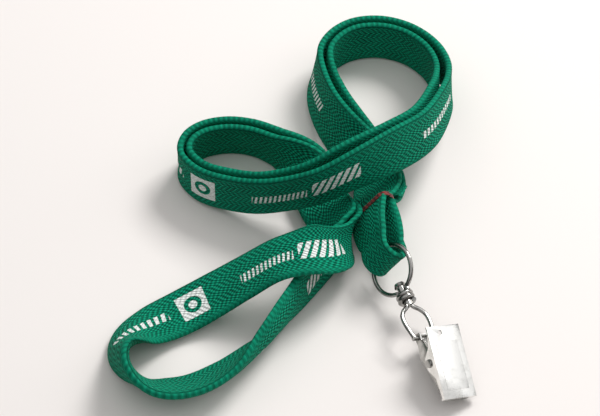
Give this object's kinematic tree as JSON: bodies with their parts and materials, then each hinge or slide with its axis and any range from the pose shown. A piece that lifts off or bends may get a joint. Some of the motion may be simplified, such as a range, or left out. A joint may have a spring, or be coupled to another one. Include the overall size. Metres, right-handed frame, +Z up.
{
  "type": "lanyard badge holder",
  "caption": "Flat woven neck strap laid in folds, its doubled end folded round a wire ring, with a turning wire loop and a sprung clip for a badge.",
  "frame": {"origin": "middle of the part's box at the level it lies on", "axes": "+Z up from the surface it lies on, +Y along the longest extent, the clip toward -Y"},
  "size_m": [0.1086, 0.1434, 0.0319],
  "materials": {
    "strap_cloth": "woven tube, dark green",
    "thread": "twisted sewing thread",
    "wire": "bright nickel plate",
    "plate": "bright nickel plate, pressed sheet",
    "spring_steel": "drawn wire"
  },
  "bodies": {
    "strap": {"strap_fold": "strap_cloth", "outer_right": "strap_cloth", "outer_left": "strap_cloth", "inner_right": "strap_cloth", "inner_left": "strap_cloth", "neck_upper": "strap_cloth", "neck_lower": "strap_cloth", "strap_end": "strap_cloth", "thread_tie": "thread"},
    "ring": {"ring_coil": "wire"},
    "swivel": {"swivel_neck": "wire", "swivel_loop_left": "wire", "swivel_loop_right": "wire"},
    "lever": {"lever": "plate", "torsion_spring": "spring_steel"},
    "plate": {"upper_jaw": "plate", "plate_panel": "plate", "hinge_pin": "wire"}
  },
  "joints": [
    {"name": "ring_swing", "type": "hinge", "parent": "strap", "child": "ring", "pos_m": [0.02801, -0.01901, 0.00996], "axis": [0.6034, 0.1222, 0.788], "range_deg": [-65, 60]},
    {"name": "swivel_turn", "type": "hinge", "parent": "ring", "child": "swivel", "pos_m": [0.03401, -0.03344, 0.00761], "axis": [0.3794, -0.9132, -0.1489], "continuous": true},
    {"name": "lever_swing", "type": "hinge", "parent": "swivel", "child": "lever", "pos_m": [0.03941, -0.04646, 0.00548], "axis": [0.8192, 0.4063, -0.4048], "range_deg": [-60, 65]},
    {"name": "jaw_open", "type": "hinge", "parent": "lever", "child": "plate", "pos_m": [0.04509, -0.05631, 0.00707], "axis": [0.8192, 0.4063, -0.4048], "range_deg": [-25, 0], "stiffness_Nm_per_rad": 0.05, "springref_deg": 34.38}
  ]
}
